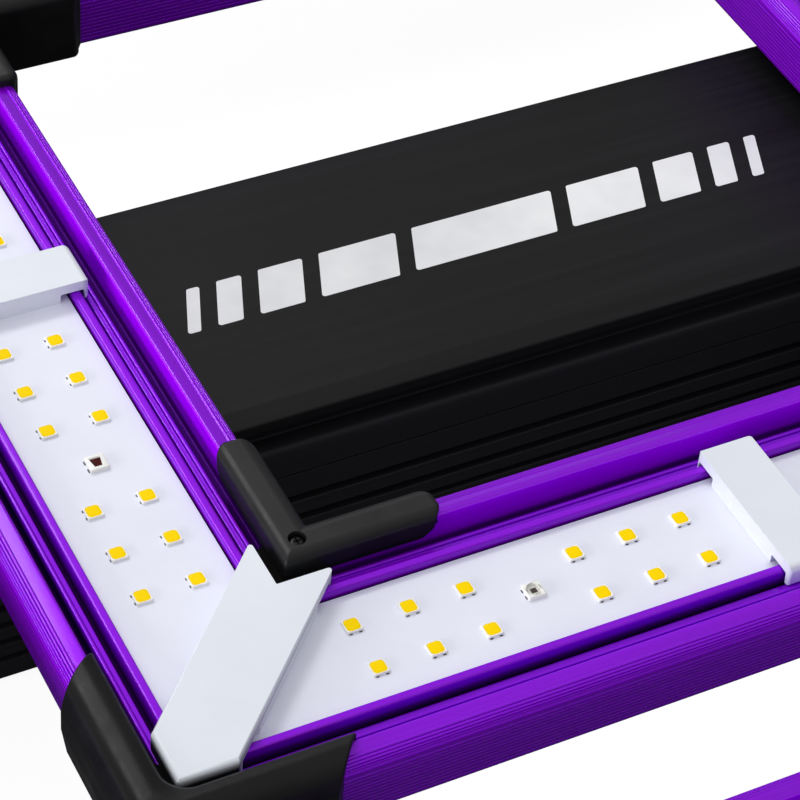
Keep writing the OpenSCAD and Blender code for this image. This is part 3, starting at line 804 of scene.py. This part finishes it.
def corner_clip():
    """Diagonal band with two prongs round the inner corner cap; its outer edges bend down over the lips."""
    h, w, bend, notch = 10.0, CORNER_END, 0.8, 14.4
    plan = rounded([(-w, -w, 0.4), (h - w, -w, 0.3), (notch + h, notch, 0.45), (notch, notch, 0.12),
                    (notch, notch + h, 0.45), (-w, h - w, 0.3)], 5)
    plate = bmesh.new()
    rings = [flat(plan, CLIP_UNDER)]
    steps = 8
    for i in range(steps + 1):
        a = math.pi / 2 * i / steps
        low = -w + bend * (1 - math.cos(a))
        rings.append([(max(x, low), max(y, low), CLIP_TOP - bend + bend * math.sin(a)) for x, y in plan])
    loft(plate, rings)
    bmesh.ops.remove_doubles(plate, verts=plate.verts, dist=1e-4)
    foot = bmesh.new()
    prism(foot, band(FOOT_W, h), BOARD_TOP, CLIP_UNDER + 0.3)
    solid = boolean(plate, foot, "UNION")
    leg = bmesh.new()
    prism(leg, plan, LEG_FOOT, CLIP_UNDER)
    cut = bmesh.new()
    out, inn, far = CLIP_END - w - CLIP_LEG, CLIP_LEG - CLIP_END + notch, 40.0
    hollow = [(out, out), (far, out), (far, inn), (inn, inn), (inn, far), (out, far)]
    prism(cut, hollow, LEG_FOOT - 1, CLIP_UNDER + 1)
    leg = boolean(leg, cut, "DIFFERENCE")
    solid = boolean(solid, leg, "UNION")
    bmesh.ops.dissolve_limit(solid, angle_limit=math.radians(0.5), verts=solid.verts, edges=solid.edges)
    bevelled(solid, 0.28, 3, 50, pick=lambda e: all(v.co.z > CLIP_TOP - 0.01 for v in e.verts))
    # painted shade on the corner clip's bent outer edges, where the cap keeps light off
    mark_unshaded(solid, lambda co: min(co.x, co.y) > -w + bend + 0.05)
    return bm_mesh(solid, "corner_clip", 30)


PROTO_MID, PROTO_CORNER = mid_clip(), corner_clip()
gap_x = (CO - FIRST - 4 * PITCH) / 2  # middle of the gap between two groups of lamps on an outer bar
for ring, c, xs in (("inner", CI, (0.0,)), ("outer", CO, (-gap_x, gap_x))):
    mids = [side_matrix(c, k) @ Matrix.Translation((x * MM, 0, 0)) for k in range(4) for x in xs]
    corners = [corner_matrix(c, k) for k in range(4)]
    add_object(f"{ring}_board_clips", copies("mid", PROTO_MID, mids), [CLIP_WHITE],
               [f"{ring}_mid_clips"])
    add_object(f"{ring}_corner_bands", copies("corner", PROTO_CORNER, corners), [CLIP_WHITE],
               [f"{ring}_corner_clips"])

# ---- black corner caps

CAP_SCREW = 21.0  # from the bars' centre lines to a cap's screw


def along(line, t):
    """The point at the fraction t of the length of an open line."""
    lengths = [math.dist(a, b) for a, b in zip(line, line[1:])]
    left = t * sum(lengths)
    for a, b, d in zip(line, line[1:], lengths):
        if left <= d:
            k = left / d
            return (a[0] + (b[0] - a[0]) * k, a[1] + (b[1] - a[1]) * k)
        left -= d
    return line[-1]


def l_shell(bm, outer, inner, end, way, turn, mirrored, roll):
    """A shell bent into an L. outer and inner are the open lines of its section, as (w, h), with w the
    distance from both bars' centre lines. end(w, h) is where each arm stops, way the arms' direction, turn(w)
    the plan radius at the corner, and roll the rounding of the arms' ends."""
    total = sum(math.dist(a, b) for a, b in zip(outer, outer[1:]))
    run, mate = 0.0, []
    for i, p in enumerate(outer):
        mate.append(along(inner, run / total))
        if i + 1 < len(outer):
            run += math.dist(p, outer[i + 1])
    steps = 8
    inner_turn = 0.2
    rows = []

    def arm(a, swap):
        """Section near the end of an arm, where the outer skin rolls in."""
        row = []
        for pts, skin in ((outer, True), (list(reversed(mate)), False)):
            for i, p in enumerate(pts):
                w, h = p
                if skin:
                    q = mate[i]
                    gap = math.dist(p, q)
                    k = min(roll, 0.7 * gap) * (1 - math.cos(a)) / max(gap, 1e-6)
                    w, h = p[0] + (q[0] - p[0]) * k, p[1] + (q[1] - p[1]) * k
                s = end(*p) - way * roll * (1 - math.sin(a))
                row.append((w, s, h) if swap else (s, w, h))
        return row

    def corner(a):
        """Section part of the way round the corner."""
        row = []
        for pts, skin in ((outer, True), (list(reversed(mate)), False)):
            for w, h in pts:
                r = turn(w) if skin else inner_turn
                row.append((w + way * r * (1 - math.sin(a)), w + way * r * (1 - math.cos(a)), h))
        return row

    angles = [math.pi / 2 * i / steps for i in range(steps + 1)]
    rows += [arm(a, False) for a in reversed(angles)]
    rows += [corner(a) for a in angles]
    rows += [arm(a, True) for a in angles]
    if mirrored:
        rows = [[(-x, -y, z) for x, y, z in r] for r in rows]
    vs = [[bm.verts.new(p) for p in r] for r in rows]
    for a, b in zip(vs, vs[1:]):
        ring_faces(bm, a, b)
    n = len(outer)
    for v in (vs[0], vs[-1]):
        for i in range(n - 1):
            bm.faces.new((v[i], v[i + 1], v[2 * n - 2 - i], v[2 * n - 1 - i]))


def turned(p, profile, n):
    """Round rings about the upright through (p, p), from a profile of (radius, z)."""
    angles = [2 * math.pi * i / n for i in range(n)]
    return [[(p + r * math.cos(a), p + r * math.sin(a), z) for a in angles] for r, z in profile]


def hole_cutter(p):
    """Stepped hole for a cap's screw, wide enough at the top for its head."""
    bm = bmesh.new()
    profile = [(1.2, 11.0), (1.2, 14.75), (1.42, 14.75), (1.44, 15.7), (1.5, 15.9), (1.6, 16.3)]
    loft(bm, turned(p, profile, 32))
    return bm


# the caps' inner skin, just clear of the bar's ridge and outer side
RIDGE_LINE = [(18.4, 11.0), (18.4, 13.3), (18.8, 14.0), (19.5, 14.17), (20.6, 14.17), (22.3, 13.5),
              (23.04, 12.4), (23.04, 11.0), (22.0, -0.04), (20.5, -0.04)]


def in_cap():
    """Cap over the two ridges at a ring's inner corner, with long half-round arms."""
    skirt, face, top, under = 17.2, 24.45, 16.05, -1.2
    reach, ridge, skirt_low = 45.8, 20.0, 13.0
    outer = rounded([(18.4, 11.0), (skirt, 11.0, 0.25), (skirt, 12.4), (skirt + 0.1, top, 3.1),
                     (face - 0.1, top, 2.9), (face, 10.5, 2.0), (23.8, under, 0.4), (20.5, under)], 10)

    def end(w, h):
        """The arms' ends are rounded in plan, and cut back below the skirt's upper part."""
        if w > ridge:
            return reach - 1.9 * ((w - ridge) / (face - ridge)) ** 3.0
        taper = 2.0 * (min(max(skirt_low - h, 0.0), 2.0) / 2.0) ** 1.5 if w < 18.5 else 0.0
        return reach - 1.1 * ((ridge - w) / (ridge - skirt)) ** 2.5 - taper

    bm = bmesh.new()
    l_shell(bm, outer, RIDGE_LINE, end, 1, lambda w: 0.3, False, 1.2)
    bm = boolean(bm, hole_cutter(CAP_SCREW), "DIFFERENCE")
    return bm_mesh(bm, "in_cap", 30)


def out_cap():
    """Cap over a ring's outer corner, with short arms cut on the slant."""
    skirt, face, far, near, under = 17.25, 25.2, 12.8, 6.6, -0.6
    outer = rounded([(18.4, 11.0), (skirt, 11.0, 0.25), (skirt, 15.0, 1.9), (19.8, 16.1, 3.0),
                     (23.3, 15.3, 4.0), (face, 11.6, 4.0), (face, 7.0, 2.0), (23.8, under, 0.5),
                     (20.5, under)], 10)
    slope = (far - near) / (face - skirt)

    def end(w, h):
        return (w - skirt) * slope - far

    def turn(w):
        return 4.5 - 2.0 * max(0.0, w - skirt) / (face - skirt)

    bm = bmesh.new()
    l_shell(bm, outer, RIDGE_LINE, end, -1, turn, True, 0.35)
    bm = boolean(bm, hole_cutter(-CAP_SCREW), "DIFFERENCE")
    return bm_mesh(bm, "out_cap", 30)


def shade_web(way, reach):
    """Near lightless black web that fills the slots beside the board at a corner, under the clip: a dark
    sheet that stands in, as painted shade, for the shadow there.
    """
    z0, z1, lip, wall, slant = 10.45, 11.5, LIP_OUT + 0.15, WALL_W - 0.05, 2.4 * way
    bm = bmesh.new()
    outline = [(lip, lip), (reach - slant, lip), (reach, wall), (wall, wall), (wall, reach),
               (lip, reach - slant)]
    prism(bm, rounded([(way * x, way * y, 0.15) for x, y in outline], 3), z0, z1)
    bevelled(bm, 0.25, 2, 40)
    return bm_mesh(bm, "shade_web", 30)


def cap_screw(p):
    """Pan head with a cross recess, in its hole."""
    bm = bmesh.new()
    profile = [(1.05, 8.0), (1.05, 14.8), (1.32, 14.8), (1.32, 15.15), (1.12, 15.33), (0.7, 15.42)]
    loft(bm, turned(p, profile, 28))
    for a, b in ((0.8, 0.17), (0.17, 0.8)):
        cut = bmesh.new()
        loft(cut, [oblong(p, p, a * 0.6, b * 0.8, 14.9), oblong(p, p, a, b, 15.8)])
        bm = boolean(bm, cut, "DIFFERENCE")
    return bm_mesh(bm, "cap_screw", 30)


def cap_screw_set():
    """One screw in every cap of both rings, as one mesh."""
    spots = [corner_matrix(c, k) for _, c in RINGS for k in range(4)]
    bm = bmesh.new()
    for p in (CAP_SCREW, -CAP_SCREW):
        bm.from_mesh(copies("cap_screws", cap_screw(p), spots))
    me = bpy.data.meshes.new("cap_screw_set")
    bm.to_mesh(me)
    bm.free()
    return me


PROTO_IN, PROTO_OUT = in_cap(), out_cap()
for ring, c in RINGS:
    spots = [corner_matrix(c, k) for k in range(4)]
    add_object(f"{ring}_ring_inside_caps", copies("in_caps", PROTO_IN, spots), [CAP_BLACK],
               [f"{ring}_frame_in_caps"])
    # outer caps in the darker copy of the cap plastic, as painted shade
    add_object(f"{ring}_ring_outside_caps", copies("out_caps", PROTO_OUT, spots), [SHADED_OUT_CAP_BLACK],
               [f"{ring}_frame_out_caps"])
    # black webs in the corner slots as painted shade
    for where, way, reach in (("inside", 1, 26.0), ("outside", -1, 8.0)):
        add_object(f"{ring}_ring_{where}_webs", copies("shade_webs", shade_web(way, reach), spots), [SHADE_WEB_BLACK])
add_object("corner_cap_screws", cap_screw_set(), [BLACK_OXIDE], ["cap_screws"], weighted=False)

# ---- driver box

HALF_W = DRIVER_HI[1]
NECK_Z, NECK_W = 38.4, 27.0  # top of the ribbed sides, and half width of the neck above them
LID_Z = LID_LO[2] + 1.8  # underside of the face plate, above its two guide strips
TOP_Z = LID_HI[2]
BORE_W, GUIDE_W = 22.5, 24.0  # half widths inside the housing and across its two board guides


def side_grooves():
    """The right-hand side, from the underside up: three narrow grooves, two wide ones and a fine line."""
    hw, deep = HALF_W, 2.0
    pts = []
    for tall, starts in ((1.4, (5.4, 9.8, 14.2)), (1.8, (18.5, 23.7))):
        for z in starts:
            pts += [(hw, z, 0.35), (hw - deep, z, 0.3), (hw - deep, z + tall, 0.3), (hw, z + tall, 0.35)]
    return pts + [(hw, 31.1, 0.12), (hw - 0.5, 31.15), (hw - 0.5, 31.45), (hw, 31.5, 0.12)]


def housing_section():
    """The housing as one outline of (y, z): up the right side, down the left, and back along the inside."""
    hw, rim = HALF_W, LID_Z - 0.05
    right = [(hw - 1.2, 0, 0.8), (hw, 1.2, 0.8)] + side_grooves()
    right += [(hw, NECK_Z, 1.5), (NECK_W, NECK_Z, 0.5), (NECK_W, rim)]
    left = [(-p[0],) + tuple(p[1:]) for p in reversed(right)]
    inside = [(-BORE_W, rim), (-BORE_W, 9.7), (-GUIDE_W, 9.7), (-GUIDE_W, 8), (-BORE_W, 8), (-BORE_W, 3, 0.6),
              (BORE_W, 3, 0.6), (BORE_W, 8), (GUIDE_W, 8), (GUIDE_W, 9.7), (BORE_W, 9.7), (BORE_W, rim)]
    return rounded(right + left + inside, 4)


def lid_section():
    """The bevelled face plate with two guide strips under it, as (y, z)."""
    hw, bevel_w, bevel_h = HALF_W, 4.3, 0.6
    strip_in, strip_out, strip_z = 21.4, 22.4, LID_LO[2]
    pts = [(-hw, LID_Z, 0.3), (-strip_out, LID_Z), (-strip_out, strip_z, 0.2), (-strip_in, strip_z, 0.2),
           (-strip_in, LID_Z), (strip_in, LID_Z), (strip_in, strip_z, 0.2), (strip_out, strip_z, 0.2),
           (strip_out, LID_Z), (hw, LID_Z, 0.3), (hw, TOP_Z - bevel_h, 0.5), (hw - bevel_w, TOP_Z, 1.2),
           (-hw + bevel_w, TOP_Z, 1.2), (-hw, TOP_Z - bevel_h, 0.5)]
    return rounded(pts, 4)


def half_length(w):
    return DRIVER_HI[0]


# housing in the brightened copy of the black anodising, as painted light
swept_bar("driver_case", [housing_section()], half_length, Matrix.Identity(4), [LIT_CASE_BLACK],
          ["driver_housing"])
swept_bar("driver_face_plate", [lid_section()], half_length, Matrix.Identity(4), [BLACK_EXT],
          ["driver_lid"])


def mark():
    """A plain printed mark: a row of slanted blocks that narrow towards both ends."""
    bm = bmesh.new()
    ink_t, half_h, slant, gap = 0.05, 5.6, 4.5, 3.4
    widths = (30.0, 16.0, 9.0, 5.0, 2.6)
    x = -widths[0] / 2
    spans = [(x, -x)]
    for w in widths[1:]:
        start = spans[-1][1] + gap
        spans.append((start, start + w))
    lean, r = slant / 2, 0.5
    for a, b in spans + [(-b, -a) for a, b in spans[1:]]:
        pts = [(a - lean, -half_h, r), (b - lean, -half_h, r), (b + lean, half_h, r), (a + lean, half_h, r)]
        prism(bm, rounded(pts, 4), TOP_Z, TOP_Z + ink_t)
    return bm_mesh(bm, "mark", 30)


add_object("face_mark", mark(), [INK], weighted=False)

# ---- knob


def knob():
    """Dial with a plain skirt, a fluted grip, a dished end and a pointer line."""
    bm = bmesh.new()
    lo, hi = box_mm("dimmer_knob")
    x0, x1 = lo[0], hi[0]
    cy, cz = 15.0, 24.0
    n, flutes = 96, 24
    # place along the shaft, radius and depth of the flutes
    profile = [(x0, 7.6, 0.0), (x0 + 0.3, 8.0, 0.0), (x0 + 1.5, 8.0, 0.0), (x0 + 2.0, 7.8, 0.0),
               (x0 + 2.3, 7.25, 0.0), (x0 + 2.9, 7.15, 0.4), (x1 - 1.3, 6.95, 0.4), (x1 - 0.5, 6.75, 0.2),
               (x1 - 0.12, 6.3, 0.0), (x1, 5.7, 0.0), (x1 - 0.05, 5.2, 0.0), (x1 - 0.35, 4.9, 0.0),
               (x1 - 0.4, 3.0, 0.0)]
    rings = []
    for x, r, grip in profile:
        ring = []
        for i in range(n):
            a = 2 * math.pi * i / n
            rr = r - grip * (0.5 + 0.5 * math.cos(flutes * a)) ** 2
            ring.append((x, cy + rr * math.cos(a), cz + rr * math.sin(a)))
        rings.append(ring)
    loft(bm, rings)
    half, near, far = 0.45, 1.5, 4.7
    line = [(cy - half, cz + near), (cy + half, cz + near), (cy + half, cz + far), (cy - half, cz + far)]
    loft(bm, [[(x, y, z) for y, z in line] for x in (x1 - 0.42, x1 - 0.30)], mat=1)
    return bm_mesh(bm, "knob", 35)


add_object("dimmer_dial", knob(), [MOULD_BLACK, INK], ["dimmer_knob"], "dimmer")

# ---- the CAD nodes that stay, with their own finish


# node, material and the width of its rounded edges in mm, where 0 leaves the edges as they are
KEPT = (
    ("corner_keys", CAST, 0.4), ("key_screws", BLACK_OXIDE, 0), ("rail_spacers", RUBBER, 0.4),
    ("spacer_screws", STEEL, 0), ("frame_nuts", STEEL, 0), ("hanger_brackets", STEEL, 0.35),
    ("hanger_screws", STEEL, 0.15), ("inlet_end_cap", END_BLACK, 0.5), ("control_end_cap", END_BLACK, 0.3),
    ("end_gaskets", RUBBER, 0.2), ("end_cap_screws", STEEL, 0.1), ("driver_board", GREEN, 0),
    ("transformer", TAPE, 0.6), ("capacitors", SLEEVE, 0.5), ("supply_wires", RUBBER, 0),
    ("mains_inlet", MOULD_BLACK, 0.35), ("inlet_pins", STEEL, 0.2), ("control_ports", MOULD_BLACK, 0.15),
    ("port_cover_a", RUBBER, 0.25), ("port_cover_b", RUBBER, 0.25), ("dimmer_pot", STEEL, 0.2),
    ("dimmer_shaft", STEEL, 0.2))


def finish_node(name, mat, bevel):
    """Gives a CAD node its material and, unless bevel is 0, rounded edges."""
    o = NODES[name]
    o.data.materials.clear()
    o.data.materials.append(mat)
    if bevel:
        b = o.modifiers.new("edge", "BEVEL")
        b.width = bevel * MM
        b.segments = 2
        b.limit_method = "ANGLE"
        b.angle_limit = math.radians(50)
        b.harden_normals = False


for name, mat, bevel in KEPT:
    finish_node(name, mat, bevel)

# ---- floor, light and camera


def floor_white():
    """Pale matt floor. The camera sees it near white with a soft shadow; the object sees a dimmer card."""
    lit, glow = 0.2, 0.92
    m = Mat("floor_white")
    m.colour(m.ramp(m.noise(3.0), [(0.3, grey(lit)), (0.7, grey(lit * 0.98))]))
    m.set(Roughness=0.9, Specular_IOR_Level=0.0, Emission_Color=(1.0, 1.0, 1.0, 1.0))
    seen = m.node("ShaderNodeLightPath").outputs["Is Camera Ray"]
    m.link(m.math("MULTIPLY", seen, glow), m.b.inputs["Emission Strength"])
    return m.m


def add_floor():
    half, drop = 6.0, 0.0005
    bm = bmesh.new()
    bmesh.ops.create_grid(bm, x_segments=1, y_segments=1, size=half)
    me = bpy.data.meshes.new("floor")
    bm.to_mesh(me)
    bm.free()
    me.materials.append(floor_white())
    floor = bpy.data.objects.new("floor", me)
    floor.location.z = -drop
    scene.collection.objects.link(floor)


def add_studio():
    """Soft grey surroundings, darker below; the camera itself sees them white."""
    strength = 0.9
    world = bpy.data.worlds.new("studio")
    scene.world = world
    world.use_nodes = True
    nodes, links = world.node_tree.nodes, world.node_tree.links
    back = nodes["Background"]
    coord = nodes.new("ShaderNodeTexCoord")
    split = nodes.new("ShaderNodeSeparateXYZ")
    links.new(coord.outputs["Generated"], split.inputs[0])
    sky = nodes.new("ShaderNodeValToRGB")
    stops = sky.color_ramp.elements
    stops.new(0.3)
    stops.new(0.6)
    for stop, (height, v) in zip(stops, ((0.0, 0.22), (0.3, 0.36), (0.6, 0.66), (1.0, 1.0))):
        stop.position = height
        stop.color = (v, v, v, 1.0)
    links.new(split.outputs["Z"], sky.inputs["Fac"])
    path = nodes.new("ShaderNodeLightPath")
    seen = nodes.new("ShaderNodeMix")
    seen.data_type = "RGBA"
    first, second = [i for i in seen.inputs if i.type == "RGBA"]
    second.default_value = (1, 1, 1, 1)
    links.new(path.outputs["Is Camera Ray"], seen.inputs[0])
    links.new(sky.outputs["Color"], first)
    links.new([o for o in seen.outputs if o.type == "RGBA"][0], back.inputs[0])
    back.inputs[1].default_value = strength


def softbox(name, at, wide, tall, power):
    """Rectangular lamp of the size wide by tall in metres, aimed at the object."""
    target = Vector((0, 0, 0.05))
    d = bpy.data.lights.new(name, "AREA")
    d.shape = "RECTANGLE"
    d.size = wide
    d.size_y = tall
    d.energy = power
    o = bpy.data.objects.new(name, d)
    o.location = at
    o.rotation_euler = (target - Vector(at)).to_track_quat("-Z", "Y").to_euler()
    scene.collection.objects.link(o)


def add_camera():
    """Close, steep view over a corner of the inner ring from the front left."""
    right = Vector((0.8916934, -0.44705648, 0.07087584))
    up = Vector((0.26469157, 0.642026, 0.71954221))
    behind = Vector((-0.36718014, -0.6228508, 0.69082243))
    eye = Vector((-229.35, -363.96, 411.45)) * MM
    data = bpy.data.cameras.new("camera")
    data.sensor_width = 36.0
    data.lens = 134.06
    data.clip_start = 0.01
    cam = bpy.data.objects.new("camera", data)
    cam.matrix_world = Matrix.Translation(eye) @ Matrix((right, up, behind)).transposed().to_4x4()
    scene.collection.objects.link(cam)
    scene.camera = cam


scene = bpy.context.scene
scene.view_settings.view_transform = "Standard"
scene.view_settings.look = "None"
add_floor()
add_studio()
softbox("key", (-0.36, 1.19, 1.43), 1.4, 0.33, 13.0)
softbox("rim", (-0.30, 1.75, 0.85), 2.8, 0.75, 4.0)
softbox("side", (-1.9, -0.1, 0.4), 1.8, 0.5, 26.0)
softbox("fill", (-0.5, -1.8, 0.5), 1.8, 0.5, 2.0)
add_camera()
